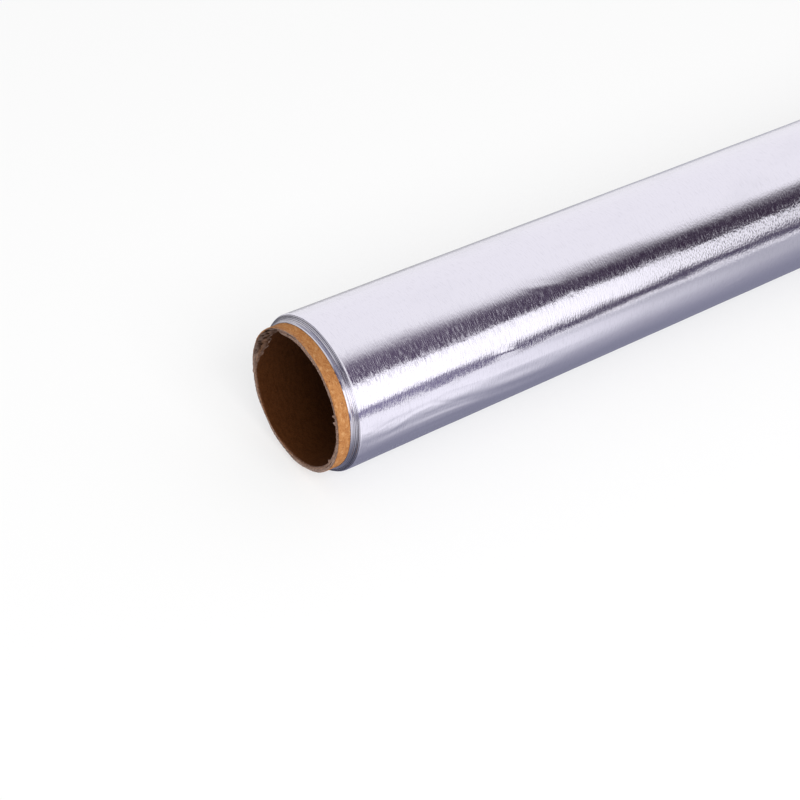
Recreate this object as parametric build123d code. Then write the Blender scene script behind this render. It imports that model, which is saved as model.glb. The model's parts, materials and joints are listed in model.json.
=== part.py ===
"""A roll of household aluminium foil, wound on a paperboard core and lying on its side."""

import os
from math import sqrt

from build123d import *

# Paperboard core, in millimetres
core_bore = 31.8  # inside diameter, which slips over a spindle
core_wall = 1.5
core_overhang = 3.0  # bare core past the first turn, at each end
cut_edge_break = 0.25  # softened edges of the cut ends

# Wound foil
foil_width = 300.0
turn_pitch = 0.12  # radial step from one visible turn to the next
turn_count = 14  # visible turns at each end
telescope = 1.5  # how far the last turn has slid along the core from the first
edge_wander = 0.1  # how far every second turn has slid past its neighbours
tail_angle = 15.0  # free edge of the foil, in degrees up from the back of the roll
rest_flat = 4.5  # width of the flat that the roll's own weight has pressed into the turns

# Worked out from the sizes above
core_radius = core_bore / 2 + core_wall
core_length = foil_width + 2 * core_overhang
foil_radius = core_radius + turn_count * turn_pitch
last_turn_seat = foil_radius - 2 * turn_pitch
downward = 270.0
underside_radius = foil_radius - turn_pitch * (downward - tail_angle) / 360
axis_height = sqrt(underside_radius**2 - (rest_flat / 2) ** 2)


def turn_slip(turn):
    """Slip of one turn along the core: an even slide outwards, with every second turn a little further."""
    slide = telescope * turn / (turn_count - 1)
    return slide + edge_wander * (turn % 2)


def core_tube():
    """The core: a paperboard tube, cut square, with softened edges."""
    section = Circle(core_radius) - Circle(core_bore / 2)
    tube = extrude(Plane.YZ * section, core_length / 2, both=True)
    return chamfer(tube.edges().filter_by(GeomType.CIRCLE), cut_edge_break)


def inner_turns():
    """All turns but the last: each as wide as the foil, slid along the core, so that both ends are stepped."""
    near_end = []
    far_end = []
    for turn in range(turn_count - 2):
        under = core_radius + turn * turn_pitch
        over = under + turn_pitch
        near_edge = turn_slip(turn) - foil_width / 2
        far_edge = near_edge + foil_width
        near_end += [(near_edge, under), (near_edge, over)]
        far_end += [(far_edge, under), (far_edge, over)]
    profile = make_face(Polyline(*near_end, *reversed(far_end), close=True))
    return revolve(Plane.XZ * profile, Axis.X)


def last_turn():
    """The last turn: a spiral of four quarter arcs about the corners of a small square, ending in the free edge."""
    square_side = turn_pitch / 4
    centre = Vector(square_side / 2, -square_side / 2).rotate(Axis.Z, tail_angle)
    radius = foil_radius - square_side / 2
    arcs = []
    for quarter in range(4):
        start = tail_angle + 90 * quarter
        arcs.append(CenterArc(centre, radius, start, 90))
        centre += Vector(square_side, 0).rotate(Axis.Z, start + 90)
        radius -= square_side
    free_edge = Line(arcs[-1] @ 1, arcs[0] @ 0)
    section = make_face([*arcs, free_edge]) - Circle(last_turn_seat)
    near_edge = turn_slip(turn_count - 1) - foil_width / 2
    return Pos(near_edge, 0, 0) * extrude(Plane.YZ * section, foil_width)


def foil_winding():
    """The wound foil: all its turns as one solid, with the flat that it lies on."""
    turns = inner_turns() + last_turn()
    below_flat = Box(2 * core_length, 2 * foil_radius, foil_radius, align=(Align.CENTER, Align.CENTER, Align.MAX))
    return turns - Pos(0, 0, -axis_height) * below_flat


os.makedirs("parts", exist_ok=True)
on_the_surface = Pos(0, 0, axis_height)
export_step(on_the_surface * core_tube(), "parts/core_tube.step")
export_step(on_the_surface * foil_winding(), "parts/foil_winding.step")
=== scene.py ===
"""Dresses a roll of household aluminium foil: the wound foil and the paperboard core that it is wound on.

Sizes are in metres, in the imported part's frame: +X runs along the core, +Z is up and the roll lies on z = 0.
Angles round the roll start at its back, +Y, and go over the top: 90 degrees is the top and 180 the front.
"""

from __future__ import annotations

import json
import logging
import math
from dataclasses import dataclass, field
from enum import Enum
from typing import Any

import bpy
import numpy as np
from mathutils import Matrix, Vector


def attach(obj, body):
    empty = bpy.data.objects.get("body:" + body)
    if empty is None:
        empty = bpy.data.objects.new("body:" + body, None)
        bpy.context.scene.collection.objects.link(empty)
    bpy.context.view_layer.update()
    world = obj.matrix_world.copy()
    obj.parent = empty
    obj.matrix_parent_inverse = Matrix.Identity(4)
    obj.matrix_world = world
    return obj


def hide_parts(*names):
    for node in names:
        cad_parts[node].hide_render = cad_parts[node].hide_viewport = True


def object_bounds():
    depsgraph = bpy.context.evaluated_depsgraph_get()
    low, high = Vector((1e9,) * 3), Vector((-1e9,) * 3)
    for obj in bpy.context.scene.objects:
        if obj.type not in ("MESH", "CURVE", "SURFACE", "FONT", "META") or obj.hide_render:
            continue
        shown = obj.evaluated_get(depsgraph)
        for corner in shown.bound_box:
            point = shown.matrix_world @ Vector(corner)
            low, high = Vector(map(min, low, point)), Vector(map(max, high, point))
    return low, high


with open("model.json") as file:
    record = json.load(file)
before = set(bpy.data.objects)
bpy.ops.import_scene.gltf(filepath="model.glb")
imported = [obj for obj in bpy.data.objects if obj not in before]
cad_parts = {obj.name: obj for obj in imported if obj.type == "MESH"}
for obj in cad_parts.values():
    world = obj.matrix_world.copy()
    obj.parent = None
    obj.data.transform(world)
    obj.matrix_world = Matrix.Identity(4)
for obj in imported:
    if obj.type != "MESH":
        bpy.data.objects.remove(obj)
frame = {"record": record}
cad_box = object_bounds()

log = logging.getLogger("foil_roll")
Array = np.ndarray
Pair = tuple[float, float]
Triple = tuple[float, float, float]
Colour = Triple
MM = 0.001


class RollEnd(Enum):
    """The two ends of the roll, each with the way that it faces along X."""

    NEAR = -1.0
    FAR = 1.0


class Slot(Enum):
    """The record's material slots."""

    CORE = "core_paperboard"
    FOIL = "foil"


@dataclass(frozen=True)
class RollSizes:
    """Sizes that the foil and the core share.

    Attributes:
        axis_height: Height of the roll's axis.
        bore: Radius of the core's bore.
        core_length: Length of the core.
        core_wall: Thickness of its wall.
        overhang: Bare core before the first turn, at each end.
        pitch: Radial step from one turn to the next.
        turns: Steps of that size between the core and the free edge.
    """

    axis_height: float
    bore: float
    core_length: float
    core_wall: float = 1.5 * MM
    overhang: float = 3.0 * MM
    pitch: float = 0.12 * MM
    turns: int = 14

    @classmethod
    def of_frame(cls) -> RollSizes:
        """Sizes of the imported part: its bore is one of the record's mounts, and its box is as long as the core."""
        bore = next(mount for mount in frame["record"]["mounts"] if mount["name"] == "core_bore")
        return cls(bore["pos_m"][2], bore["dims"]["r_mm"] * MM, cad_box[1][0] - cad_box[0][0])

    @property
    def core_radius(self) -> float:
        """Outer radius of the core, on which the first turn lies."""
        return self.bore + self.core_wall

    @property
    def core_half(self) -> float:
        """Half of the core's length: the origin is halfway along it."""
        return self.core_length / 2

    @property
    def foil_radius(self) -> float:
        """Outer radius of the foil at its free edge."""
        return self.core_radius + self.turns * self.pitch

    @property
    def foil_width(self) -> float:
        """Width of the foil."""
        return self.core_length - 2 * self.overhang


@dataclass(frozen=True)
class Ripple:
    """A smooth random height over the unrolled surface, made of seeded cosine waves.

    Attributes:
        seed: Seed of the waves' lengths, counts and phases.
        waves: How many waves are added.
        lengths: Longest and shortest wave along the roll.
        counts: Fewest and most whole waves round the roll.
    """

    seed: int
    waves: int
    lengths: Pair
    counts: tuple[int, int]

    def height(self, along: Array, angle: Array) -> Array:
        """Height at each point: the sum of cos(2 pi along / length + count * angle + phase), scaled to an rms of 1.

        Args:
            along: Distance along the roll.
            angle: Angle round the roll in radians, of a shape that broadcasts with along.

        Returns:
            The heights, with a mean of about 0.
        """
        rng = np.random.default_rng(self.seed)
        longest, shortest = self.lengths
        lengths = longest * (shortest / longest) ** rng.random(self.waves)
        lengths *= rng.choice((-1.0, 1.0), self.waves)
        counts = rng.integers(self.counts[0], self.counts[1] + 1, self.waves)
        phases = rng.uniform(0, 2 * np.pi, self.waves)
        total = np.zeros(np.broadcast(along, angle).shape)
        for length, count, phase in zip(lengths, counts, phases):
            total += np.cos(2 * np.pi * along / length + count * angle + phase)
        return total / math.sqrt(self.waves / 2)


@dataclass(frozen=True)
class Crease:
    """A crease or dent pressed into the foil along a short line of the unrolled surface.

    Attributes:
        from_x: Start of the line, in millimetres from the near end of the core.
        from_degrees: Start of the line round the roll.
        to_x: End of the line, in millimetres from the near end of the core.
        to_degrees: End of the line round the roll.
        width: Half width of the crease in millimetres.
        depth: Depth in millimetres; below 0 it is a ridge.
    """

    from_x: float
    from_degrees: float
    to_x: float
    to_degrees: float
    width: float
    depth: float

    def dip(self, along: Array, angle: Array, radius: float) -> Array:
        """Depth at each point: depth * exp(-(gap to the line / width)^1.4), and 0.15 of that at both ends of the line.

        Args:
            along: Distance from the near end of the core.
            angle: Angle round the roll in radians.
            radius: Radius of the foil, which turns angles into lengths.

        Returns:
            The depths in metres.
        """
        x0, x1 = self.from_x * MM, self.to_x * MM
        s0, s1 = math.radians(self.from_degrees) * radius, math.radians(self.to_degrees) * radius
        run = math.hypot(x1 - x0, s1 - s0)
        ux, us = (x1 - x0) / run, (s1 - s0) / run
        dx, ds = along - x0, angle * radius - s0
        share = np.clip((dx * ux + ds * us) / run, 0, 1)
        gap = np.hypot(dx - share * run * ux, ds - share * run * us)
        fade = 1 - np.abs(2 * share - 1) ** 3
        return self.depth * MM * np.exp(-((gap / (self.width * MM)) ** 1.4)) * (0.15 + 0.85 * fade)


@dataclass(frozen=True)
class StepCorner:
    """Corner of a stepped end of the winding, where turns have slid past each other along the core.

    Attributes:
        slip: How far the turn has slid along the core, in millimetres.
        top: Height above the core, in millimetres.
        cut: How much the face from this corner outwards is cut edge, from 0 for the bare side of a turn to 1.
        shade: Painted shade of that cut edge: how much light it seems to send back, from 0 in a gap to 1.
    """

    slip: float
    top: float
    cut: float
    shade: float


# Corners below the last turn, from the core outwards: slip, top, cut, shade; low shades are painted shade in the gaps
# between turns
STEP_CORNERS = tuple(
    StepCorner(*row)
    for row in (
        (0.00, 0.00, 1.0, 0.3),
        (0.00, 0.09, 0.9, 0.6),
        (0.03, 0.12, 0.8, 0.7),
        (0.36, 0.16, 0.8, 0.7),
        (0.40, 0.21, 0.8, 0.6),
        (0.58, 0.39, 1.0, 0.2),
        (0.60, 0.45, 0.8, 0.5),
        (0.80, 0.62, 1.0, 0.0),
        (0.81, 0.75, 0.8, 0.5),
        (0.84, 0.78, 0.8, 0.5),
        (1.12, 0.82, 0.8, 0.5),
        (1.15, 0.85, 1.0, 0.0),
        (1.16, 0.97, 0.9, 0.4),
        (1.19, 1.00, 0.9, 0.4),
        (1.36, 1.03, 0.9, 0.3),
        (1.39, 1.06, 1.0, 0.0),
        (1.41, 1.22, 0.8, 0.4),
        (1.44, 1.25, 0.8, 0.4),
        (1.64, 1.28, 0.7, 0.5),
        (1.67, 1.31, 1.0, 0.0),
        (1.68, 1.39, 0.2, 1.0),
    )
)

# Creases that the photograph shows: start along and round, end along and round, half width, depth
CREASES = tuple(
    Crease(*row)
    for row in (
        # Ridges that widen and wave the low dark line
        (42, 156.6, 50.5, 158.6, 1.1, -0.05),
        (44, 157.2, 50, 159.2, 0.7, -0.04),
        (4, 163.0, 18, 162.2, 1.1, -0.028),
        (23, 162.8, 31, 162.8, 1.1, -0.034),
        (32.5, 162.6, 40, 162.0, 1.1, -0.028),
        # Crinkles below it, towards the near end
        (5, 168.0, 22, 165.6, 0.45, -0.018),
        (10, 171.6, 30, 168.6, 0.45, -0.028),
        (6, 176.5, 16, 172.0, 0.45, 0.036),
        (3.8, 172.6, 9, 175.6, 0.4, -0.034),
        (9.4, 178.4, 14.2, 176.0, 0.4, 0.036),
        (11.5, 182.6, 15.2, 178.6, 0.4, -0.04),
        (22, 177.6, 26.5, 180.2, 0.4, -0.036),
        (17, 168.8, 36, 164.4, 0.4, -0.018),
        (27, 167.0, 39.2, 170.6, 0.45, -0.045),
        (37, 161.6, 46, 163.6, 0.45, -0.022),
        (46, 163.6, 60, 162.2, 0.45, -0.022),
        (31.8, 169.9, 76.3, 174.8, 0.7, -0.03),
        (49.4, 164.6, 92, 166.0, 0.5, -0.012),
        (44, 162.0, 54, 165.5, 0.6, -0.02),
        (14, 180.0, 19, 175.2, 0.5, -0.06),
        (18.5, 175.2, 25, 174.2, 0.5, -0.07),
        (24.4, 172.4, 31.8, 180.0, 0.5, 0.06),
        (31.8, 178.0, 36, 186.0, 0.7, 0.045),
        (4.5, 180.0, 8, 186.0, 0.8, 0.05),
        (8, 188.0, 22, 184.0, 0.8, -0.05),
        (20, 189.0, 40, 191.0, 1.0, -0.05),
        # Kinks in the upper dark band and the crumple further along
        (57.5, 122.6, 68, 127.6, 0.55, -0.032),
        (55.5, 119.6, 64, 124.2, 0.5, -0.022),
        (103.4, 155.2, 105.2, 155.4, 1.2, 0.03),
        (134.6, 136.4, 136.8, 141.2, 0.6, -0.1),
        (136.8, 136.8, 139.8, 143.6, 0.6, -0.09),
        (86.6, 171.4, 87.4, 172.4, 0.4, 0.04),
        (120, 184.6, 129, 182.4, 0.6, -0.03),
        # Nicks
        (24.0, 135.4, 25.0, 138.6, 0.45, 0.035),
        (35.2, 135.2, 36.0, 138.2, 0.45, 0.03),
        (68.4, 135.4, 69.0, 138.8, 0.5, 0.04),
        (59.2, 134.6, 59.6, 135.2, 0.35, 0.03),
        (49.5, 156.4, 50.0, 157.2, 0.4, 0.035),
        (55.8, 158.6, 56.3, 159.4, 0.4, 0.035),
    )
)


def smooth_step(low: float, high: float, value: Array) -> Array:
    """Cubic step from 0 where value is low to 1 where it is high: t * t * (3 - 2 t), with t cut off at 0 and 1."""
    t = np.clip((value - low) / (high - low), 0, 1)
    return t * t * (3 - 2 * t)


def bell(value: Array, middle: float | Array, spread: float) -> Array:
    """Bell curve exp(-((value - middle) / spread)^2)."""
    return np.exp(-(((value - middle) / spread) ** 2))


def turned(along: Array, radius: Array, angle: Array, axis_height: float) -> Array:
    """Points of a profile carried round the roll's axis, x = along, y = r cos(angle), z = axis + r sin(angle) or 0."""
    x, r, a = np.broadcast_arrays(along, radius, angle)
    return np.stack([x, r * np.cos(a), np.maximum(axis_height + r * np.sin(a), 0)], -1)


def grid_mesh(name: str, points: Array, sharp_degrees: float | None = None) -> bpy.types.Mesh:
    """Mesh of a grid of points: a flat panel's is open, and a piece's closes on itself along its rows and columns.

    Args:
        name: Name of the mesh.
        points: Rows x columns x 3.
        sharp_degrees: For a piece, edges that bend by more than this are shaded sharp. None makes a panel.

    Returns:
        The mesh, with its faces outwards where the rows run along +X on the outside of the roll.
    """
    rows, columns = points.shape[:2]
    left_open = 1 if sharp_degrees is None else 0
    i, j = np.meshgrid(np.arange(rows - left_open), np.arange(columns - left_open), indexing="ij")
    i_next, j_next = (i + 1) % rows, (j + 1) % columns
    corners = [i * columns + j, i * columns + j_next, i_next * columns + j_next, i_next * columns + j]
    mesh = bpy.data.meshes.new(name)
    mesh.from_pydata(points.reshape(-1, 3), [], np.stack(corners, -1).reshape(-1, 4))
    if sharp_degrees is not None:
        mesh.shade_smooth()
        mesh.set_sharp_from_angle(angle=math.radians(sharp_degrees))
    return mesh


def put_number(mesh: bpy.types.Mesh, name: str, values: Array, domain: str = "POINT") -> None:
    """Stores one number for each vertex (POINT) or face (FACE) of a mesh, in its order, as an attribute."""
    attribute = mesh.attributes.new(name, "FLOAT", domain)
    attribute.data.foreach_set("value", np.ascontiguousarray(values, np.float32).ravel())


def put_place(mesh: bpy.types.Mesh, name: str, along: Array, around: Array, across: Array) -> None:
    """Stores a place on the unrolled surface for each vertex as a vector attribute, in millimetres.

    Args:
        mesh: The mesh.
        name: Name of the attribute.
        along: Distance along the roll.
        around: Distance round the roll.
        across: Distance through its wall.
    """
    place = np.stack(np.broadcast_arrays(along, around, across), -1) / MM
    attribute = mesh.attributes.new(name, "FLOAT_VECTOR", "POINT")
    attribute.data.foreach_set("vector", place.astype(np.float32).ravel())


def linked(name: str, data: bpy.types.ID) -> bpy.types.Object:
    """Object of a mesh, lamp or camera, linked to the scene.

    Args:
        name: Name of the object.
        data: What it shows.

    Returns:
        The object.
    """
    made = bpy.data.objects.new(name, data)
    bpy.context.scene.collection.objects.link(made)
    return made


class Value:
    """A shader socket that Python expressions can use: each operator adds a Math node."""

    def __init__(self, graph: NodeGraph, socket: bpy.types.NodeSocket) -> None:
        """Wraps one output socket of a graph."""
        self.graph = graph
        self.socket = socket

    def _math(self, operation: str, first: Any, second: Any) -> Value:
        """Adds a Math node with that operation on two values or numbers."""
        return self.graph.node("Math", {"operation": operation}, {0: first, 1: second})

    def __add__(self, other: Value | float) -> Value:
        """Sum."""
        return self._math("ADD", self, other)

    def __radd__(self, other: float) -> Value:
        """Sum with a number on the left."""
        return self._math("ADD", other, self)

    def __sub__(self, other: Value | float) -> Value:
        """Difference."""
        return self._math("SUBTRACT", self, other)

    def __rsub__(self, other: float) -> Value:
        """Difference with a number on the left."""
        return self._math("SUBTRACT", other, self)

    def __mul__(self, other: Value | float) -> Value:
        """Product."""
        return self._math("MULTIPLY", self, other)

    def __rmul__(self, other: float) -> Value:
        """Product with a number on the left."""
        return self._math("MULTIPLY", other, self)

    def either(self, other: Value) -> Value:
        """The larger of two values."""
        return self._math("MAXIMUM", self, other)


class NodeGraph:
    """The nodes of one material or world."""

    def __init__(self, tree: bpy.types.NodeTree) -> None:
        """Starts an empty graph in a node tree."""
        self.tree = tree
        tree.nodes.clear()

    def node(self, kind: str, settings: dict[str, Any], inputs: dict[str | int, Any], output: str | int = 0) -> Value:
        """Adds a node, sets its settings and then its sockets.

        Args:
            kind: Blender's type of the node, without the ShaderNode in front.
            settings: Its properties.
            inputs: Socket by name or number, each a Value to link or a constant to set; a colour has three parts.
            output: Which output is wanted.

        Returns:
            That output.
        """
        made = self.tree.nodes.new("ShaderNode" + kind)
        for key, setting in settings.items():
            setattr(made, key, setting)
        for key, wanted in inputs.items():
            socket = made.inputs[key]
            if isinstance(wanted, Value):
                self.tree.links.new(wanted.socket, socket)
            else:
                socket.default_value = (*wanted, 1.0) if socket.type == "RGBA" else wanted
        return Value(self, made.outputs[output] if made.outputs else None)

    def number(self, name: str) -> Value:
        """A mesh's own number attribute."""
        return self.node("Attribute", {"attribute_name": name}, {}, "Fac")

    def place(self, name: str) -> Value:
        """A mesh's own vector attribute."""
        return self.node("Attribute", {"attribute_name": name}, {}, "Vector")

    def noise(self, vector: Value, scale: Triple, detail: float, roughness: float) -> Value:
        """Noise of about 0.5 on average over a vector.

        Args:
            vector: Where the noise is read.
            scale: Cells for each unit of the vector's three parts.
            detail: Octaves of finer noise.
            roughness: Strength of each finer octave.

        Returns:
            The noise.
        """
        stretched = self.node("VectorMath", {"operation": "MULTIPLY"}, {0: vector, 1: scale})
        inputs = {"Vector": stretched, "Scale": 1.0, "Detail": detail, "Roughness": roughness}
        return self.node("TexNoise", {}, inputs)

    def step(self, value: Value, low: float, high: float) -> Value:
        """Smooth step from 0 where a value is low to 1 where it is high."""
        settings = {"interpolation_type": "SMOOTHSTEP"}
        return self.node("MapRange", settings, {"Value": value, "From Min": low, "From Max": high})

    def mix(self, share: Value, first: Value | Colour, second: Value | Colour) -> Value:
        """Colour between two colours, by the share of the second."""
        return self.node("Mix", {"data_type": "RGBA", "clamp_factor": True}, {0: share, 6: first, 7: second}, 2)

    def bump(self, height: Value, distance: float) -> Value:
        """Normal of a surface bent by a height in units of a distance."""
        return self.node("Bump", {}, {"Height": height, "Distance": distance, "Strength": 1.0})

    def shown_ray(self) -> Value:
        """1 for rays of the camera, of bright surfaces and through clear ones, and 0 for those that light matt ones."""
        names = ("Is Camera Ray", "Is Glossy Ray", "Is Transmission Ray")
        seen, mirrored, through = (self.node("LightPath", {}, {}, name) for name in names)
        return seen.either(mirrored).either(through)

    def surface(self, shader: Value, output: str = "OutputMaterial") -> None:
        """Links a shader to the output."""
        self.node(output, {}, {"Surface": shader})

    def glow(self, colour: Value | Colour, clear: Value | None = None) -> None:
        """Makes the surface a panel that shines evenly.

        Args:
            colour: Its colour, where 1 is white.
            clear: Share by which it has thinned out, if it does.
        """
        light = self.node("Emission", {}, {"Color": colour, "Strength": 1.0})
        if clear is not None:
            light = self.node("MixShader", {}, {0: clear, 1: light, 2: self.node("BsdfTransparent", {}, {})})
        self.surface(light)


def new_material(name: str) -> tuple[bpy.types.Material, NodeGraph]:
    """Makes an empty node material.

    Args:
        name: Name of the material.

    Returns:
        The material and its graph.
    """
    material = bpy.data.materials.new(name)
    material.use_nodes = True
    return material, NodeGraph(material.node_tree)


@dataclass(frozen=True)
class FoilFinish:
    """Bright side of rolled foil: mirror-like, with hair-fine ripples that run round the roll.

    Lengths are in millimetres. Marks have a size along the roll and one round it. A change has the places where it
    starts and ends: along, from the core's near end, or round, from the back over the top.

    Attributes:
        bright: Reflected colour of the clean foil.
        dull: Reflected colour of its duller patches.
        cut: Reflected colour of the cut edges.
        cut_dark: Reflected colour of the gaps between them.
        grain: Reflected colour of the specks of its grainy stretch.
        gloss: Roughness of the clean foil.
        hair: Size of the ripples.
        hair_height: Height that a ripple bends the light by.
        cell: Size of the soft dimples.
        cell_height: Height of the soft dimples.
        speck: Size of the matt specks.
        speck_rough: How much rougher they are.
        patch: Size of the dull patches.
        settled: Along, the specks of the handled end get fainter.
        calm: Along, the ripples get lower.
        dimpled: Along, the dimples get deeper.
        top_end: Round, the smoother top goes over to the front.
        loose_start: Round, the smooth, loose foil at the front starts.
        loose_end: Round, it ends.
        grainy_start: Round, the grainy stretch of the dimpled part starts.
        grainy_end: Round, it ends.
    """

    bright: Colour = (0.805, 0.78, 0.873)
    dull: Colour = (0.70, 0.68, 0.765)
    cut: Colour = (0.74, 0.72, 0.80)
    cut_dark: Colour = (0.16, 0.15, 0.18)
    grain: Colour = (0.40, 0.39, 0.45)
    gloss: float = 0.07
    hair: Pair = (0.33, 2.3)
    hair_height: float = 0.044
    cell: Pair = (0.42, 0.63)
    cell_height: float = 0.012
    speck: Pair = (0.25, 2.0)
    speck_rough: float = 0.27
    patch: Pair = (28.0, 14.0)
    settled: Pair = (20.0, 75.0)
    calm: Pair = (50.0, 90.0)
    dimpled: Pair = (80.0, 125.0)
    top_end: Pair = (40.0, 43.5)
    loose_start: Pair = (46.0, 51.0)
    loose_end: Pair = (64.0, 76.0)
    grainy_start: Pair = (45.6, 46.8)
    grainy_end: Pair = (49.2, 51.0)

    def material(self) -> bpy.types.Material:
        """Builds the material; it reads the attributes unrolled, cut_edge and shade.

        Returns:
            The material.
        """
        material, g = new_material("rolled_foil")
        place, edge, shade = g.place("unrolled"), g.number("cut_edge"), g.number("shade")
        along, around = (g.node("SeparateXYZ", {}, {0: place}, part) for part in (0, 1))
        sizes = (self.hair, self.cell, self.speck, self.patch)
        scales = [(1 / size_along, 1 / size_round, 0.0) for size_along, size_round in sizes]
        hair = g.noise(place, scales[0], 2.0, 0.6)
        cell = g.noise(place, scales[1], 1.0, 0.5)
        speck = g.noise(place, scales[2], 2.0, 0.6)
        cloudy = g.step(g.noise(place, scales[3], 3.0, 0.55), 0.5, 0.75)
        settled, calm, dimpled = (g.step(along, *change) for change in (self.settled, self.calm, self.dimpled))
        front = g.step(around, *self.top_end)
        loose = g.step(around, *self.loose_start) * (1 - g.step(around, *self.loose_end))
        grainy = dimpled * g.step(around, *self.grainy_start) * (1 - g.step(around, *self.grainy_end))

        ripples = self.hair_height * (1 - 0.3 * calm)
        dimples = self.cell_height * (1 + dimpled + 4.0 * grainy)
        height = (hair * ripples + cell * dimples) * (1 - edge)
        speck_share = (0.6 + 0.4 * front - 0.5 * loose) * (1.4 - 0.4 * settled - 0.12 * calm)
        matt = self.speck_rough * g.step(speck, 0.34, 0.78) * speck_share
        colour = g.mix(cloudy * 0.35 + g.step(hair, 0.5, 0.72) * 0.5, self.bright, self.dull)
        colour = g.mix(grainy * g.step(cell, 0.50, 0.66) * 0.9, colour, self.grain)
        inputs = {
            "Base Color": g.mix(edge, colour, g.mix(shade, self.cut_dark, self.cut)),
            "Metallic": 1.0,
            "Roughness": self.gloss + matt + 0.03 * cloudy + 0.06 * edge,
            "Normal": g.bump(height, MM),
        }
        g.surface(g.node("BsdfPrincipled", {}, inputs))
        return material


@dataclass(frozen=True)
class KraftFinish:
    """Raw kraft paperboard: tan outside, dark brown inside, grey and fibrous where it is cut or torn.

    A pattern's cells are counted for each millimetre along, round and through the board.

    Attributes:
        outside: Colour of the outer ply.
        outside_dark: Colour of its darker fibres.
        outside_pale: Colour of its paler patches.
        fleck: Colour of the few dark flecks in it.
        inside: Colour of the inner ply: partly its own dark brown, partly painted shade of the bore.
        inside_dark: Colour of its darker fibres.
        cut: Colour of the cut edge.
        cut_dark: Colour of the glue lines of the cut edge and of painted shade in its hollows.
        fibre_cells: Cells of the long fibres.
        grain_cells: Cells of the fine grain.
        mottle_cells: Cells of the paler patches.
        fleck_cells: Cells of the flecks.
    """

    outside: Colour = (0.50, 0.23, 0.083)
    outside_dark: Colour = (0.37, 0.145, 0.046)
    outside_pale: Colour = (0.62, 0.34, 0.15)
    fleck: Colour = (0.17, 0.055, 0.03)
    inside: Colour = (0.090, 0.029, 0.008)
    inside_dark: Colour = (0.058, 0.017, 0.004)
    cut: Colour = (0.41, 0.285, 0.235)
    cut_dark: Colour = (0.045, 0.019, 0.010)
    fibre_cells: Triple = (1.4, 0.5, 1.0)
    grain_cells: Triple = (3.6, 2.6, 3.6)
    mottle_cells: Triple = (1.5, 0.9, 1.5)
    fleck_cells: Triple = (1.9, 1.5, 1.9)

    def material(self) -> bpy.types.Material:
        """Builds the material; it reads the attributes unrolled, inner, cut_edge and hollow.

        Returns:
            The material.
        """
        material, g = new_material("kraft_paperboard")
        place = g.place("unrolled")
        inner, edge, hollow = g.number("inner"), g.number("cut_edge"), g.number("hollow")
        fibre = g.noise(place, self.fibre_cells, 5.0, 0.65)
        grain = g.noise(place, self.grain_cells, 3.0, 0.65)
        mottle = g.noise(place, self.mottle_cells, 2.0, 0.6)
        flecks = g.noise(place, self.fleck_cells, 1.0, 0.5)
        dark = g.step(fibre * 0.5 + grain * 0.5, 0.40, 0.62)
        out_ply = g.mix(dark, self.outside, self.outside_dark)
        out_ply = g.mix(g.step(mottle, 0.52, 0.70) * 0.65, out_ply, self.outside_pale)
        out_ply = g.mix(g.step(flecks, 0.68, 0.75) * 0.8, out_ply, self.fleck)
        in_ply = g.mix(dark, self.inside, self.inside_dark)
        cut = g.mix((g.step(grain, 0.45, 0.66) * 0.75).either(hollow), self.cut, self.cut_dark)
        inputs = {
            "Base Color": g.mix(edge, g.mix(inner, out_ply, in_ply), cut),
            "Roughness": 0.8 + 0.2 * grain,
            "Specular IOR Level": 0.1,
            "Normal": g.bump(fibre * 0.05 + grain * 0.06 * (1 + 2 * edge), MM),
        }
        g.surface(g.node("BsdfPrincipled", {}, inputs))
        return material


def dressed(name: str, mesh: bpy.types.Mesh, material: bpy.types.Material, node: str) -> bpy.types.Object:
    """Makes a piece of a mesh: it gets its finish, rides on the roll and stands for a solid of the frame.

    Args:
        name: Name of the piece.
        mesh: Its mesh, in place.
        material: Its finish.
        node: Solid of the frame that it stands for.

    Returns:
        The piece.
    """
    piece = linked(name, mesh)
    mesh.materials.append(material)
    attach(piece, "root")
    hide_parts(node)
    return piece


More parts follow.
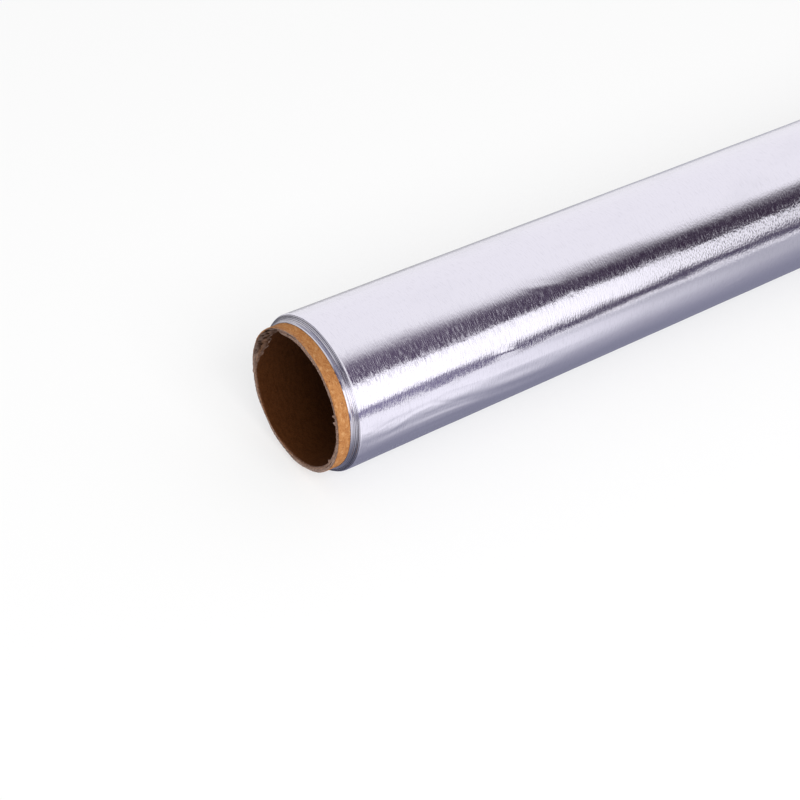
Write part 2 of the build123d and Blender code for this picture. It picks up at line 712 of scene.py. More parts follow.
@dataclass
class FoilWinding:
    """The wound foil: its rippled outer turn with the free edge, and the slipped edges of the turns at both ends.

    Attributes:
        sizes: Sizes shared with the core.
        steps: Corners of the stepped ends below the last turn, from the core outwards.
        highest_step: Greatest height of those corners above the core, in millimetres.
        last_slip: Slip of the last turn along the core.
        free_edge: Place of the free edge, in degrees up from the back.
        columns: Points round the roll.
        rim_rows: Points along the last turn by its edges, in millimetres from each.
        rim_droop: How far those edges bend down.
        rim_reach: How far in from the edge that bend starts.
        fine_rows: Points along the photographed half.
        fine_from: Where they start, from the last turn's near edge.
        fine_to: Where they end, along X.
        plain_rows: Points along the rest.
        plain_to: Where those end, from the last turn's far edge.
        slack: Mean depth of the loose outer turn below the plain spiral, in millimetres.
        least_depth: Least depth of any of it, which keeps it inside the solids' box.
        dent_count: How many small dents it has all over.
        creases: Creases and dents that show in the photograph.
        finish: Finish of the foil.
    """

    sizes: RollSizes
    steps: tuple[StepCorner, ...] = STEP_CORNERS
    highest_step: float = 1.4
    last_slip: float = 1.75 * MM
    free_edge: float = 15.0
    columns: int = 200
    rim_rows: tuple[float, ...] = (0, 0.07, 0.14, 0.21, 0.28, 0.42)
    rim_droop: float = 0.12 * MM
    rim_reach: float = 0.28 * MM
    fine_rows: int = 330
    fine_from: float = 0.75 * MM
    fine_to: float = 22 * MM
    plain_rows: int = 100
    plain_to: float = 1.05 * MM
    slack: float = 0.086
    least_depth: float = 0.018 * MM
    dent_count: int = 70
    creases: tuple[Crease, ...] = CREASES
    finish: FoilFinish = field(default_factory=FoilFinish)

    def round_shares(self) -> Array:
        """Shares of the turn at the columns, from the free edge on: closest at the front and by the free edge.

        Returns:
            Shares from 0 to just under 1, at equal steps of the summed density of columns.
        """
        shares = np.linspace(0, 1, 3601)
        degrees = self.free_edge + 360 * shares
        by_edge = bell(degrees, self.free_edge, 12) + bell(degrees, self.free_edge + 360, 8)
        total = np.cumsum(1 + 2.2 * bell(degrees, 160, 48) + 1.5 * by_edge)
        return np.interp(np.linspace(total[0], total[-1], self.columns), total, shares) * (1 - 1e-4)

    def width_shares(self) -> Array:
        """Shares of the width at the rows of the outer turn: closest at its edges, then in the photographed half.

        Returns:
            Shares from 0 to 1.
        """
        width = self.sizes.foil_width
        rim = np.array(self.rim_rows) * MM / width
        fine_share = self.fine_to / width + 0.5
        fine = np.linspace(self.fine_from / width, fine_share, self.fine_rows, endpoint=False)
        plain = np.linspace(fine_share, 1 - self.plain_to / width, self.plain_rows)
        return np.concatenate([rim, fine, plain, 1 - rim[::-1]])

    def stepped_end(self, angle: Array, end: RollEnd) -> tuple[Array, Array]:
        """Profile of one end from the core outwards: its corners, each slid a little more or less round the roll.

        Args:
            angle: Angle round the roll in radians, one for each column.
            end: Which end.

        Returns:
            Place along X and radius, both rows x columns.
        """
        slip = np.array([corner.slip for corner in self.steps])[:, None]
        top = np.array([corner.top for corner in self.steps])[:, None]
        seed = 3 if end is RollEnd.NEAR else 5
        wander = 0.04 * Ripple(seed, 12, (1.6, 0.5), (1, 5)).height(slip, angle[None, :])
        slid = np.maximum.accumulate(np.clip(slip + wander, 0, self.last_slip / MM - 0.02), 0)
        lift = 0.012 * Ripple(seed + 10, 12, (1.6, 0.5), (1, 6)).height(top, angle[None, :])
        risen = np.maximum.accumulate(np.clip(top + lift * bell(top, 0.7, 0.5), 0, self.highest_step), 0)
        return end.value * self.sizes.foil_width / 2 + slid * MM, self.sizes.core_radius + risen * MM

    def dents(self, along: Array, angle: Array) -> Array:
        """Depth of the small dents that handling leaves: seeded short dimples, the same all over the roll.

        Args:
            along: Distance from the near end of the core.
            angle: Angle round the roll in radians.

        Returns:
            The depths in metres.
        """
        rng = np.random.default_rng(41)
        total = np.zeros(np.broadcast(along, angle).shape)
        for _ in range(self.dent_count):
            x, a = rng.uniform(8, 298), rng.uniform(20, 370)
            lean, run = rng.uniform(-0.6, 0.6), rng.uniform(0.8, 3.2)
            mark = Crease(x, a, x + run, a + 3 * lean * run, rng.uniform(0.4, 0.9), rng.uniform(0.006, 0.03))
            total += mark.dip(along, angle, self.sizes.foil_radius)
        return total

    def surface_radius(self, along: Array, angle: Array, turn: Array) -> Array:
        """Radius of the outer turn: the spiral, less its slow swell, its loose wrinkles, its creases and its dents.

        By the free edge the foil waves a little, the edge bends down to the turn below, and that dips under it.

        Args:
            along: Distance from the near end of the core, one for each row.
            angle: Angle round the roll in radians, rows x columns.
            turn: Share of the turn from the free edge, one for each column.

        Returns:
            The radii, rows x columns; each is a little less than the plain spiral's.
        """
        loose = 0.1 + bell(along, 18 * MM, 42 * MM) * bell(np.degrees(angle), 191, 18)
        swell = 0.010 * Ripple(7, 40, (70 * MM, 14 * MM), (1, 9)).height(along, angle)
        folds = 0.05 * loose * Ripple(11, 44, (110 * MM, 24 * MM), (14, 34)).height(along, angle)
        depth = -(swell + folds - self.slack).clip(-0.16, 0.0) * MM
        for crease in self.creases:
            depth = depth + crease.dip(along, angle, self.sizes.foil_radius)
        depth = depth + self.dents(along, angle)
        waves = 0.5 + 0.5 * Ripple(29, 26, (70 * MM, 9 * MM), (0, 5)).height(along, angle)
        depth = depth + 0.05 * MM * waves.clip(0, 1.5) * bell(turn, 0, 0.05)
        depth = depth + 0.06 * MM * smooth_step(0.96, 1, turn) + 0.11 * MM * (1 - smooth_step(0, 0.002, turn))
        return self.sizes.foil_radius - self.sizes.pitch * turn - np.maximum(depth, self.least_depth)

    def face_numbers(self, near: Array, far: Array, rows: int, less: Array, lip: float, gap: float) -> Array:
        """Numbers of the faces: the corners' own at both ends, 0 on the outer turn, and two set ones by the free edge.

        Args:
            near: Numbers of the near end's corners, from the core outwards.
            far: Numbers of the far end's corners.
            rows: Rows of faces on the outer turn.
            less: Share that is taken off at each column.
            lip: Number along the free edge.
            gap: Number in the gap below it.

        Returns:
            The numbers, rows x columns, with the row that lies on the core last.
        """
        values = np.concatenate([near, np.zeros(rows), far[::-1], [0]])[:, None] * (1 - less)
        outer_turn = slice(len(near), len(near) + rows)
        values[outer_turn, 0] = lip
        values[outer_turn, -1] = gap
        return values

    def mesh(self) -> bpy.types.Mesh:
        """Mesh of the winding: a profile of stepped near edges, outer turn and stepped far edges, carried round.

        Returns:
            The closed mesh, with the attributes unrolled, cut_edge and shade.
        """
        sizes, turn, share = self.sizes, self.round_shares()[None, :], self.width_shares()[:, None]
        angle = math.radians(self.free_edge) + 2 * np.pi * turn
        near_x, near_r = self.stepped_end(angle[0], RollEnd.NEAR)
        far_x, far_r = self.stepped_end(angle[0], RollEnd.FAR)
        outer_x = self.last_slip + sizes.foil_width * (share - 0.5) + 0 * turn
        along = outer_x + sizes.core_half
        edge_wave = Ripple(23, 8, (160 * MM, 35 * MM), (0, 0)).height(along, 0 * along) * math.radians(0.6)
        outer_angle = angle + edge_wave
        from_rim = np.minimum(share, 1 - share) * sizes.foil_width
        droop = self.rim_droop * (1 - np.clip(from_rim / self.rim_reach, 0, 1)) ** 1.1
        outer_r = self.surface_radius(along, outer_angle, turn) - droop

        x = np.concatenate([near_x, outer_x, far_x[::-1]])
        r = np.concatenate([near_r, outer_r, far_r[::-1]])
        a = np.concatenate([outer_angle[:1] + 0 * near_x, outer_angle, outer_angle[-1:] + 0 * far_x])
        mesh = grid_mesh("foil_winding_look", turned(x, r, a, sizes.axis_height), 20)
        put_place(mesh, "unrolled", x + sizes.core_half, sizes.foil_radius * a, 0 * x)
        degrees, rows = np.degrees(angle[0]), len(share) - 1
        # painted highlight: round 146 degrees, where the foil mirrors the strip light, the cut edges are given the bare
        # foil's bright colour and gloss
        painted_highlight = 0.95 * bell(degrees, 146, 10)
        # painted shade: the cut edges are darker low at the front and high at the back
        painted_shade = 0.4 * bell(degrees, 190, 17) + 0.4 * bell(degrees, 42, 25)
        cut = np.array([corner.cut for corner in self.steps])
        shade = np.array([corner.shade for corner in self.steps])
        cut_edge = self.face_numbers(cut, cut, rows, painted_highlight, lip=0.6, gap=1.0)
        put_number(mesh, "cut_edge", cut_edge, "FACE")
        # painted shade: the corners' shades darken the gaps between turns, the far end's are painted paler, the gap
        # below the free edge is painted dark and its lip is a darker line
        shade = self.face_numbers(shade, 0.6 + 0.4 * shade, rows, painted_shade, lip=0.4, gap=0.1)
        put_number(mesh, "shade", shade, "FACE")
        return mesh

    def build(self) -> bpy.types.Object:
        """Builds and dresses the winding."""
        return dressed("foil_winding_look", self.mesh(), self.finish.material(), "foil_winding")


@dataclass
class CoreTube:
    """The paperboard core: a tube of wound plies with fibrous cut ends, torn a little at the near one.

    Attributes:
        sizes: Sizes shared with the foil.
        plies: Plies through the wall.
        columns: Points round the tube.
        wall_points: Points through the wall.
        tear_middle: Middle of the torn stretch of the near end, in degrees.
        tear_half: Half of that stretch in degrees.
        tear_depth: How far the inner plies are torn back there.
        tufts: Tufts of the near end that stand into the bore: middle and half width in degrees, length in millimetres.
        outside_spans: Start and end of spans along the outside in millimetres, and the rows of each.
        bore_spans: The same along the bore.
        seam_pitch: Distance along the tube from one turn of the inner ply's seam to the next.
        pattern_radius: Radius at which the finish measures distances round the tube.
        finish: Finish of the paperboard.
    """

    sizes: RollSizes
    plies: int = 4
    columns: int = 540
    wall_points: int = 30
    tear_middle: float = 33.0
    tear_half: float = 35.0
    tear_depth: float = 2.3 * MM
    tufts: tuple[Triple, ...] = ((156.5, 1.1, 1.0), (162.5, 1.2, 1.0), (140.0, 2.2, -0.1), (207.0, 1.6, 0.5))
    outside_spans: tuple[Triple, ...] = ((0.2, 4.4, 12), (4.4, 301.6, 3), (301.6, 305.9, 12))
    bore_spans: tuple[Triple, ...] = ((0.2, 8.0, 24), (8.0, 298.0, 44), (298.0, 305.9, 12))
    seam_pitch: float = 78 * MM
    pattern_radius: float = 17 * MM
    finish: KraftFinish = field(default_factory=KraftFinish)

    def torn(self, angle: Array, end: RollEnd) -> Array:
        """How much an end is torn at each angle: a smooth hump about the middle of the tear, only at the near end.

        Args:
            angle: Angle round the tube in radians.
            end: Which end.

        Returns:
            From 0, cut clean, to 1, torn back fully.
        """
        if end is RollEnd.FAR:
            return 0 * angle
        off = (np.degrees(angle) - self.tear_middle + 180) % 360 - 180
        return 1 - smooth_step(0.35 * self.tear_half, 1.15 * self.tear_half, np.abs(off + 0.12 * self.tear_half))

    def recess(self, across: Array, angle: Array, end: RollEnd) -> tuple[Array, Array]:
        """Depth of a cut end below its foremost plane.

        Each ply has an edge of its own that wanders round the tube, glue lines lie between plies, fibres roughen
        the edge, and inner plies are torn back more the nearer they are to the bore.

        Args:
            across: Place through the wall, from 0 outside to 1 at the bore, rows x 1.
            angle: Angle round the tube in radians, 1 x columns.
            end: Which end.

        Returns:
            The depths in metres and the share of hollow, both rows x columns: glue lines, and the torn stretch with
            painted shade in its holes.
        """
        seed = 60 if end is RollEnd.NEAR else 80
        ply = np.minimum(np.floor(across * self.plies), self.plies - 1)
        wander = Ripple(seed, 14, (3.1, 1.3), (1, 11)).height(ply, angle)
        fibres = Ripple(seed + 1, 60, (0.5, 0.1), (20, 150)).height(across, angle)
        tufts = Ripple(seed + 2, 50, (1.1, 0.36), (8, 52)).height(across, angle)
        lumps = Ripple(seed + 3, 12, (3.0, 1.0), (4, 16)).height(0 * across, angle)
        glue_place = 0.52 + 0.07 * Ripple(seed + 4, 9, (3.0, 1.0), (1, 9)).height(0 * across, angle)
        glue_share = (0.45 + 0.4 * Ripple(seed + 5, 18, (3.0, 1.0), (4, 44)).height(0 * across, angle)).clip(0, 1)
        lines = bell(across, glue_place, 0.10) * glue_share
        torn = self.torn(angle, end)
        slope = smooth_step(0.12, 1.0, across) * self.tear_depth * (1 + 0.12 * lumps)
        rough = smooth_step(0.1, 0.35, across) * (1 - 0.35 * smooth_step(0.8, 1, across))
        depth = (0.16 + 0.05 * wander + 0.028 * fibres + 0.11 * lines * (1 - torn)) * MM
        depth = depth + torn * (slope + (0.10 * fibres + 0.30 * tufts) * MM * rough)
        # the torn stretch is darkened: partly its browner torn fibre, partly painted shade, deepest in its holes
        holes = smooth_step(-0.2, 0.9, tufts + 0.35 * fibres) * smooth_step(0.05, 0.3, across)
        hollow = np.clip(0.9 * lines * (1 - 0.6 * torn) + (0.6 + 0.4 * holes) * torn, 0, 1)
        return np.maximum(depth, 0), hollow

    def rim_radius(self, across: Array, angle: Array, end: RollEnd) -> Array:
        """Radius of a cut end's points: straight through the wall, rounded at both edges and frayed.

        At the near end a few tufts stand into the bore, and one small lip stands out.

        Args:
            across: Place through the wall, from 0 outside to 1 at the bore, rows x 1.
            angle: Angle round the tube in radians, 1 x columns.
            end: Which end.

        Returns:
            The radii, rows x columns.
        """
        rounding = 0.10 * MM * (bell(across, 0, 0.05) - bell(across, 1, 0.05))
        fray = 0.03 * MM * Ripple(91, 50, (1, 0.3), (20, 130)).height(across, angle)
        radius = self.sizes.core_radius - across * self.sizes.core_wall - rounding + fray
        if end is RollEnd.FAR:
            return radius
        degrees = np.degrees(angle)
        tufts = sum(length * bell(degrees, middle, spread) for middle, spread, length in self.tufts)
        lip = 0.35 * bell(degrees, 347.5, 1.4) * (1 - smooth_step(0, 0.35, across))
        return radius + (lip - tufts * smooth_step(0.55, 1, across)) * MM

    def wall_rows(self, spans: tuple[Triple, ...]) -> Array:
        """Shares along the tube at which a wall has its rows: evenly spaced over each of its spans, as one column."""
        rows = [np.linspace(start * MM, end * MM, count, endpoint=False) for start, end, count in spans]
        return np.concatenate(rows)[:, None] / self.sizes.core_length

    def ply_seam(self, along: Array, angle: Array) -> Array:
        """Seam of the spirally wound inner ply, from 0 to 1 on it: a narrow bell where turns of the spiral meet."""
        place = (along / self.seam_pitch - angle / (2 * np.pi)) % 1.0
        return bell(place, 0.5, 0.012)

    def tattered_and_shaded_edges(self, out_gap: Array, bore_gap: Array, angle: Array) -> tuple[Array, Array]:
        """Marks next to the near end's two edges: painted shade along the outside at the back, and tatters of the tear
        in the bore.

        Args:
            out_gap: Distance of the outside's points from the near end, rows x columns.
            bore_gap: Distance of the bore's points from the near end, rows x columns.
            angle: Angle round the tube in radians, 1 x columns.

        Returns:
            Shares of cut edge on the outside, there painted shade in the hollows' dark colour, and in the bore, from 0
            to 1.
        """
        from_back = (np.degrees(angle) + 180) % 360 - 180
        # painted shade: a dark band along the outer edge of the near end, at the back
        rim_shade = (1 - smooth_step(0.1 * MM, 0.7 * MM, out_gap)) * bell(from_back, 10, 60)
        ragged = (0.35 + 0.5 * Ripple(67, 24, (1.0, 0.5), (18, 70)).height(0 * bore_gap, angle)).clip(0, 1)
        tatters = ragged * self.torn(angle, RollEnd.NEAR) * (1 - smooth_step(0.1 * MM, 0.5 * MM, bore_gap))
        return rim_shade, tatters

    def cut_plies(self, across: Array, angle: Array) -> tuple[Array, Array, Array]:
        """Look of the cut ends through the wall: the outer ply's skin laps over the edge, most at the front.

        Args:
            across: Place through the wall, from 0 outside to 1 at the bore, rows x 1.
            angle: Angle round the tube in radians, 1 x columns.

        Returns:
            Shares of cut edge, of a painted shade line below the skin and of the inner ply's lip, rows x columns.
        """
        degrees = np.degrees(angle)
        from_back = (degrees + 180) % 360 - 180
        skin = 0.40 * bell(degrees, 150, 62) + 0.24 * bell(degrees, 35, 38) - 0.16
        cut = smooth_step(0, 0.16, across - skin)
        # painted shade: a dark line just below the skin, strongest at the front
        skin_shade_line = 0.7 * bell(across - skin, 0.16, 0.07) * bell(degrees, 150, 60)
        lip = (0.25 + 0.75 * bell(from_back, -60, 55)) * smooth_step(0.56, 0.74, across)
        return cut, skin_shade_line, lip

    def mesh(self) -> bpy.types.Mesh:
        """Mesh of the tube: the section of its wall, run along the outside, the far end, the bore and the near end.

        Returns:
            The closed mesh, with the attributes unrolled, inner, cut_edge and hollow.
        """
        sizes = self.sizes
        angle = np.linspace(0, 2 * np.pi, self.columns, endpoint=False)[None, :]
        across = np.linspace(0, 1, self.wall_points)[:, None]
        near_depth, near_hollow = self.recess(across, angle, RollEnd.NEAR)
        far_depth, far_hollow = self.recess(across, angle, RollEnd.FAR)
        near_x, far_x = near_depth - sizes.core_half, sizes.core_half - far_depth
        out_x = near_x[:1] + (far_x[:1] - near_x[:1]) * self.wall_rows(self.outside_spans)
        bore_x = near_x[-1:] + (far_x[-1:] - near_x[-1:]) * self.wall_rows(self.bore_spans)[::-1]
        seam = self.ply_seam(bore_x, angle)
        out_waves = Ripple(31, 30, (60 * MM, 5 * MM), (0, 12)).height(out_x, angle)
        out_r = sizes.core_radius + 0.012 * MM * (out_waves - 3)  # so low that no wave stands out of the solid
        bore_waves = Ripple(37, 30, (40 * MM, 6 * MM), (0, 12)).height(bore_x, angle)
        bore_r = sizes.bore + (0.02 * bore_waves + 0.10 * seam) * MM
        near_r, far_r = (self.rim_radius(across, angle, end) for end in RollEnd)
        x = np.concatenate([out_x, far_x, bore_x, near_x[::-1]])
        r = np.concatenate([out_r, far_r, bore_r, near_r[::-1]])
        mesh = grid_mesh("core_tube_look", turned(x, r, angle, sizes.axis_height), 50)

        # the outside's share is painted shade and the bore's is torn fibre
        rim_shade, tatters = self.tattered_and_shaded_edges(out_x - near_x[:1], bore_x - near_x[-1:], angle)
        cut, skin_shade_line, lip = self.cut_plies(across, angle)
        # painted shade: the outside of the core is mixed a little towards the dark inner ply round the top
        painted_top_shade = 0.2 * bell(np.degrees(angle), 107, 25) + 0 * out_x
        inner_ply = smooth_step(0.5, 0.9, across) + 0 * near_x
        # that line below the skin is painted shade, in the hollows' dark colour
        near_hollow = np.clip(near_hollow + skin_shade_line, 0, 1)
        put_place(mesh, "unrolled", x + sizes.core_half, self.pattern_radius * angle, r - sizes.bore)
        put_number(mesh, "inner", np.concatenate([painted_top_shade, inner_ply, 0 * bore_x + 1, inner_ply[::-1]]))
        put_number(mesh, "cut_edge", np.concatenate([rim_shade, cut, tatters, (cut * (1 - lip))[::-1]]))
        put_number(mesh, "hollow", np.concatenate([rim_shade, far_hollow, 0.5 * seam, near_hollow[::-1]]))
        return mesh

    def build(self) -> bpy.types.Object:
        """Builds and dresses the tube."""
        return dressed("core_tube_look", self.mesh(), self.finish.material(), "core_tube")


@dataclass(frozen=True)
class PhotoCamera:
    """The photograph's camera.

    Attributes:
        place: Where it stands.
        aim: What it looks at.
        tilt: How far it is turned about its line of sight, in degrees.
        lens: Focal length in millimetres.
        sensor: Width of its sensor in millimetres.
    """

    place: Triple = (-0.31692, -0.21938, 0.26091)
    aim: Triple = (-0.12768, -0.00696, 0.01290)
    tilt: float = 7.222
    lens: float = 73.125
    sensor: float = 36.0

    def build(self) -> bpy.types.Object:
        """Builds the camera and makes it the scene's own.

        Returns:
            The camera.
        """
        data = bpy.data.cameras.new("photo_camera")
        data.sensor_fit = "HORIZONTAL"
        data.sensor_width = self.sensor
        data.lens = self.lens
        data.clip_start = 0.01
        back = (Vector(self.place) - Vector(self.aim)).normalized()
        level_right = Vector((0, 0, 1)).cross(back).normalized()
        level_up = back.cross(level_right)
        c, s = math.cos(math.radians(self.tilt)), math.sin(math.radians(self.tilt))
        right, up = c * level_right + s * level_up, c * level_up - s * level_right
        camera = linked("photo_camera", data)
        camera.matrix_world = Matrix.Translation(self.place) @ Matrix((right, up, back)).transposed().to_4x4()
        bpy.context.scene.camera = camera
        return camera


def stage_panel(
    name: str, points: Array, across: Array, along: Array, material: bpy.types.Material
) -> bpy.types.Object:
    """Makes a studio panel that only bright surfaces show.

    Args:
        name: Name of the panel.
        points: Its grid of points, rows x columns x 3.
        across: Number stored at each point for its finish; it broadcasts to rows x columns.
        along: Another one.
        material: Its finish.

    Returns:
        The panel.
    """
    mesh = grid_mesh(name, points)
    for number_name, numbers in (("across", across), ("along", along)):
        put_number(mesh, number_name, np.broadcast_to(numbers, points.shape[:2]))
    mesh.materials.append(material)
    panel = linked(name, mesh)
    panel.visible_camera = False
    panel.visible_diffuse = False
    panel.visible_shadow = False
    return panel


@dataclass(frozen=True)
class Panel:
    """A studio panel that stands along the roll, by the angles up from the front at which the roll sees its edges.

    Attributes:
        name: Name of the panel.
        low: Angle of its lower edge at both ends, in degrees.
        high: Angle of its upper edge at both ends, in degrees.
        distance: Distance from the line that the angles are measured about.
        start: Where it starts along X.
        end: Where it ends along X.
        middle: Where along X its edges drift from the first angle to the second.
        drift: Length of that drift.
        line_height: Height of the line that the angles are measured about.
    """

    name: str
    low: Pair
    high: Pair
    distance: float
    start: float
    end: float
    middle: float
    drift: float
    line_height: float = 0.019

    def build(self, material: bpy.types.Material) -> bpy.types.Object:
        """Builds the panel: part of a round wall, with each edge's angle going over from one end's to the other's.

        Args:
            material: Its finish.

        Returns:
            The panel, which only bright surfaces show.
        """
        x = np.linspace(self.start, self.end, 81)[:, None]
        across = np.linspace(0, 1, 9)[None, :]
        shift = smooth_step(self.middle - self.drift / 2, self.middle + self.drift / 2, x)
        low = self.low[0] + (self.low[1] - self.low[0]) * shift
        high = self.high[0] + (self.high[1] - self.high[0]) * shift
        angle = np.radians(low + (high - low) * across)
        y, z = -self.distance * np.cos(angle), self.line_height + self.distance * np.sin(angle)
        return stage_panel(self.name, np.stack(np.broadcast_arrays(x, y, z), -1), across, x, material)


@dataclass(frozen=True)
class FloorShadowCard:
    """Painted shadow of the roll on the floor: a grey card beside the roll, where only the foil shows it.

    Attributes:
        name: Name of the card.
        side: -1 for the front or 1 for the back.
        outer: Distance of its far edge from the line below the axis.
        near_level: Level of its paler part by the roll's near end.
        far_level: Level of its paler part by the far end.
        clear_from: Distance from that line from which it thins out.
        inner: Distance of its near edge from that line.
        half_length: How far it goes along X, both ways.
    """

    name: str
    side: float
    outer: float
    near_level: float
    far_level: float
    clear_from: float
    inner: float = 0.004
    half_length: float = 0.7

    def material(self, grey: Colour) -> bpy.types.Material:
        """Builds its finish: painted shadow, dark where it goes under the roll and paler away from it.

        Args:
            grey: Its dark colour.

        Returns:
            The material.
        """
        material, g = new_material(self.name)
        across, along = g.number("across"), g.number("along")
        near_colour = (self.near_level, self.near_level, 1.03 * self.near_level)
        far_colour = (self.far_level, 1.01 * self.far_level, 1.1 * self.far_level)
        pale = g.mix(g.step(along, -0.10, 0.04), near_colour, far_colour)
        clear = g.step(across, self.clear_from, self.clear_from + 0.05)
        g.glow(g.mix(g.step(across, 0.016, 0.058), grey, pale), clear)
        return material

    def build(self, grey: Colour) -> bpy.types.Object:
        """Builds the card, a flat grid just above the floor.

        Args:
            grey: Its dark colour.

        Returns:
            The card, which the camera and matt surfaces don't see.
        """
        x = np.linspace(-self.half_length, self.half_length, 57)[:, None]
        gap = np.linspace(self.inner, self.outer, 33)[None, :]
        points = np.stack(np.broadcast_arrays(x, self.side * gap, 0.1 * MM), -1)
        return stage_panel(self.name, points, gap, x, self.material(grey))


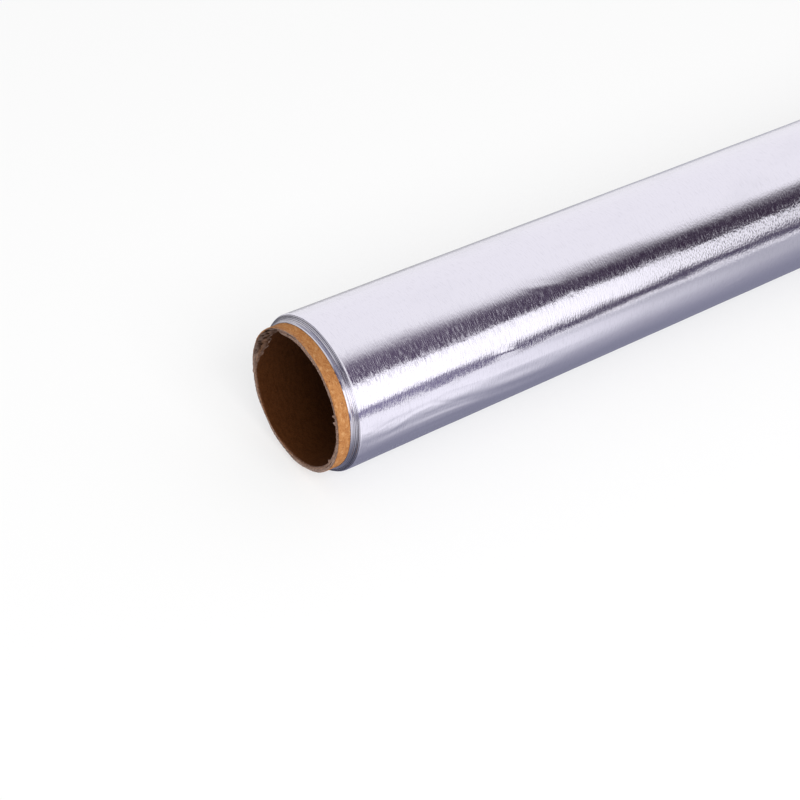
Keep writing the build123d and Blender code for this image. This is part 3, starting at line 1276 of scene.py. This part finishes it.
@dataclass
class Studio:
    """A pale floor under a white surround, a soft strip light at the front and dark panels that the foil shows.

    Attributes:
        ambient: Level of the surround as matt surfaces receive it; bright ones see it as white.
        floor_colour: Colour of the floor.
        floor_white: Share of plain white in the floor as the camera and bright surfaces see it.
        floor_half: How far the floor goes, each way.
        strip_level: Brightness of the strip light along the near part of the roll.
        strip_far_level: Its brightness along the far part.
        dark: Colour of the dark panels along the far part of the roll.
        dusk: Colour of the upper one by the near end.
        dusk_low: Colour of the low one by the near end.
        grey: Colour of the floor cards close to the roll.
        end_card_level: How much brighter than that the card by the roll's near end is.
        end_card_x: Where that card stands along X.
        end_card_y: Where it starts and ends along Y.
        end_card_z: Where it starts and ends along Z.
        lamp_power: Power of the lamp at the front.
        lamp_place: Where the lamp stands; it looks at the origin.
        lamp_size: Width and height of the lamp.
        strip: The strip light.
        upper: The upper dark panel.
        low: The low dark panel.
        cards: The cards on the floor, which paint the roll's shadow there for the foil to mirror.
    """

    ambient: float = 0.66
    floor_colour: Colour = (0.96, 0.96, 0.96)
    floor_white: float = 0.6
    floor_half: float = 40.0
    strip_level: float = 1.4
    strip_far_level: float = 0.70
    dark: Colour = (0.043, 0.029, 0.051)
    dusk: Colour = (0.150, 0.120, 0.182)
    # grey: Colour of the painted floor shadow close to the roll.
    dusk_low: Colour = (0.265, 0.243, 0.370)
    grey: Colour = (0.25, 0.255, 0.33)
    end_card_level: float = 1.45
    end_card_x: float = -0.22
    end_card_y: Pair = (-0.028, 0.125)
    end_card_z: Pair = (0.04, 0.19)
    lamp_power: float = 10.5
    lamp_place: Triple = (-0.25, -0.95, 0.85)
    lamp_size: Pair = (0.9, 0.7)
    strip: Panel = Panel(
        "strip_light", low=(0, 0), high=(37.3, 33), distance=0.45, start=-0.9, end=0.9, middle=0.33, drift=0.12
    )
    upper: Panel = Panel(
        "upper_dark", low=(36, 30), high=(84, 74), distance=0.46, start=-0.24, end=0.9, middle=0.27, drift=0.3
    )
    low: Panel = Panel(
        "low_dark", low=(-5.8, -3.6), high=(8, 13.6), distance=0.13, start=-0.6, end=0.6, middle=0.0, drift=0.09
    )
    cards: tuple[FloorShadowCard, ...] = (
        FloorShadowCard("front_floor_shadow", side=-1, outer=0.128, near_level=1.08, far_level=0.5, clear_from=0.3),
        FloorShadowCard("back_floor_shadow", side=1, outer=0.14, near_level=0.5, far_level=0.5, clear_from=0.085),
    )

    def surround(self) -> None:
        """Makes the world white, at the ambient level for matt surfaces."""
        world = bpy.data.worlds.new("white_surround")
        bpy.context.scene.world = world
        world.use_nodes = True
        g = NodeGraph(world.node_tree)
        strength = self.ambient + (1 - self.ambient) * g.shown_ray()
        g.surface(g.node("Background", {}, {"Color": (1, 1, 1), "Strength": strength}), "OutputWorld")

    def floor(self) -> None:
        """Builds the floor, which goes over to plain white away from the roll, so that no horizon shows."""
        material, g = new_material("pale_floor")
        matt = g.node("BsdfDiffuse", {}, {"Color": self.floor_colour, "Roughness": 0.0})
        white = g.node("Emission", {}, {"Color": (1, 1, 1), "Strength": 1.0})
        place = g.node("TexCoord", {}, {}, "Object")
        distance = g.node("VectorMath", {"operation": "LENGTH"}, {0: place}, "Value")
        share = g.shown_ray() * (self.floor_white + (1 - self.floor_white) * g.step(distance, 0.6, 2.2))
        g.surface(g.node("MixShader", {}, {0: share, 1: matt, 2: white}))
        reach = np.linspace(-self.floor_half, self.floor_half, 3)
        x, y = np.meshgrid(reach, reach)
        mesh = grid_mesh("pale_floor", np.stack([x, y, 0 * x - 0.2 * MM], -1))
        mesh.materials.append(material)
        linked("pale_floor", mesh)

    def upper_dark_material(self) -> bpy.types.Material:
        """Dark cloth that thins out towards its upper edge, and is a little paler near the roll's near end.

        Returns:
            The material.
        """
        material, g = new_material("upper_dark")
        colour = g.mix(g.step(g.number("along"), 0.08, 0.3), self.dusk, self.dark)
        g.glow(colour, g.step(g.number("across"), 0.48, 1.0))
        return material

    def low_dark_material(self) -> bpy.types.Material:
        """Dark cloth that thins out upwards, is paler by the roll's near end and has a paler foot along its far part.

        Returns:
            The material.
        """
        material, g = new_material("low_dark")
        across, along = g.number("across"), g.number("along")
        foot = (1 - g.step(across, 0.08, 0.5)) * g.step(along, -0.02, 0.09)
        colour = g.mix(g.step(along, -0.085, 0.01) * 0.82, self.dusk_low, self.dark)
        g.glow(g.mix(foot * 0.3, colour, self.grey), g.step(across, 0.55, 1.0))
        return material

    def strip_material(self) -> bpy.types.Material:
        """White cloth lit from behind, brightest along the near part of the roll.

        Returns:
            The material.
        """
        material, g = new_material("strip_light")
        near_white, far_white = (self.strip_level,) * 3, (self.strip_far_level,) * 3
        g.glow(g.mix(g.step(g.number("along"), 0.10, 0.57), near_white, far_white))
        return material

    def end_card(self) -> None:
        """Stands a small grey card close to the roll's near end, which only the turns' cut edges there show."""
        material, g = new_material("end_card")
        ray_length = g.node("LightPath", {}, {}, "Ray Length")
        g.glow(tuple(self.end_card_level * part for part in self.grey), g.step(ray_length, 0.12, 0.16))
        y, z = np.linspace(*self.end_card_y, 9)[:, None], np.linspace(*self.end_card_z, 9)[None, :]
        points = np.stack(np.broadcast_arrays(self.end_card_x, y, z), -1)
        stage_panel("end_card", points, z, y, material)

    def key_lamp(self) -> None:
        """Stands a soft lamp at the front, which lights the core's side and throws the shadow to the back."""
        data = bpy.data.lights.new("key_lamp", "AREA")
        data.shape = "RECTANGLE"
        data.size, data.size_y = self.lamp_size
        data.energy = self.lamp_power
        lamp = linked("key_lamp", data)
        lamp.location = self.lamp_place
        lamp.rotation_euler = lamp.location.to_track_quat("Z", "Y").to_euler()
        lamp.visible_glossy = False

    def build(self) -> None:
        """Builds the surround, the floor, the lamp, the panels and the cards."""
        self.surround()
        self.floor()
        self.key_lamp()
        self.strip.build(self.strip_material())
        self.upper.build(self.upper_dark_material())
        self.low.build(self.low_dark_material())
        self.end_card()
        for card in self.cards:
            card.build(self.grey)


def main() -> None:
    """Builds the camera, the studio and the two pieces of the roll in order."""
    logging.basicConfig(level=logging.INFO, format="%(message)s")
    bpy.context.scene.view_settings.view_transform = "Standard"
    PhotoCamera().build()
    Studio().build()
    sizes = RollSizes.of_frame()
    for maker in (CoreTube(sizes), FoilWinding(sizes)):
        piece = maker.build()
        piece.data.calc_loop_triangles()
        log.info("%s: %d triangles", piece.name, len(piece.data.loop_triangles))


if __name__ == "__main__":
    main()
